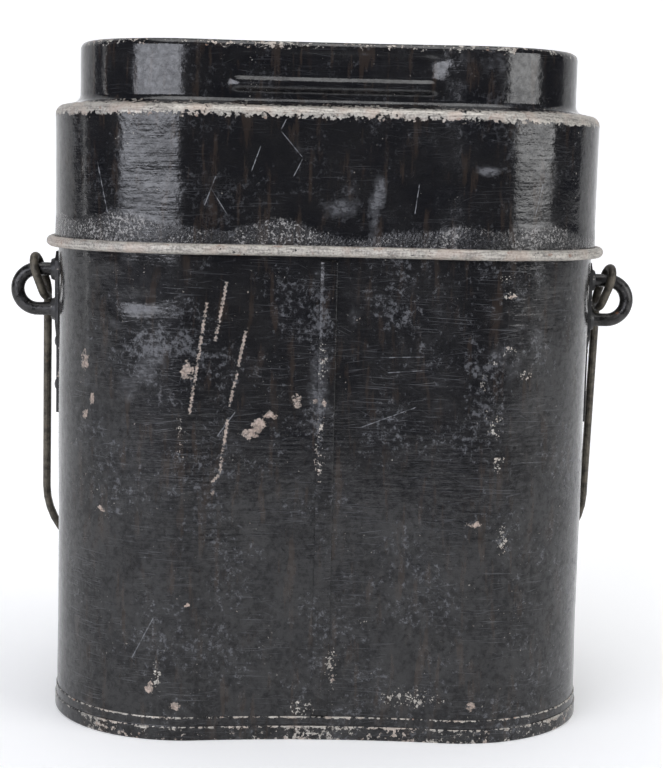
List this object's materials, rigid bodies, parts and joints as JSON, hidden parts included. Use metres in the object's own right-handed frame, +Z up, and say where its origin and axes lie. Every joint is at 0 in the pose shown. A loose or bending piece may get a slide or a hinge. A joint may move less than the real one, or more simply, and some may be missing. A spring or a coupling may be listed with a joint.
{
  "type": "mess tin",
  "caption": "Kidney-shaped painted sheet-metal cooking pot with a deep press-on lid, wire ear loops and a swinging wire bail.",
  "frame": {"origin": "middle of the pot's plan, on the ground plane under its base", "axes": "+Z up through the lid, +X to the tin's right seen from its hollow front wall, which faces -Y"},
  "size_m": [0.1792, 0.0946, 0.1874],
  "materials": {
    "black_paint": "worn black gloss paint over tinned steel",
    "lid_paint": "worn black gloss paint over tinned steel, rubbed bare on the bead and edges",
    "bare_wire": "dull bare steel with light rust",
    "bail_steel": "dull brownish steel"
  },
  "bodies": {
    "pot": {"pot_wall": "black_paint", "pot_bottom": "black_paint", "pot_seam_strip": "black_paint", "pot_rim_wire": "bare_wire", "left_ear_plate": "black_paint", "right_ear_plate": "black_paint", "left_ear_loop": "bare_wire", "right_ear_loop": "bare_wire", "left_ear_upper_rivet": "black_paint", "left_ear_lower_rivet": "black_paint", "right_ear_upper_rivet": "black_paint", "right_ear_lower_rivet": "black_paint"},
    "lid": {"lid_shell": "lid_paint", "lid_rim_wire": "bare_wire"},
    "bail": {"bail_wire": "bail_steel"}
  },
  "joints": [
    {"name": "lid_lift", "type": "slide", "parent": "pot", "child": "lid", "axis": [0, 0, 1], "range_m": [0, 0.1]},
    {"name": "bail_swing", "type": "hinge", "parent": "pot", "child": "bail", "pos_m": [0, 0, 0.1241], "axis": [1, 0, 0], "range_deg": [0, 310]}
  ]
}
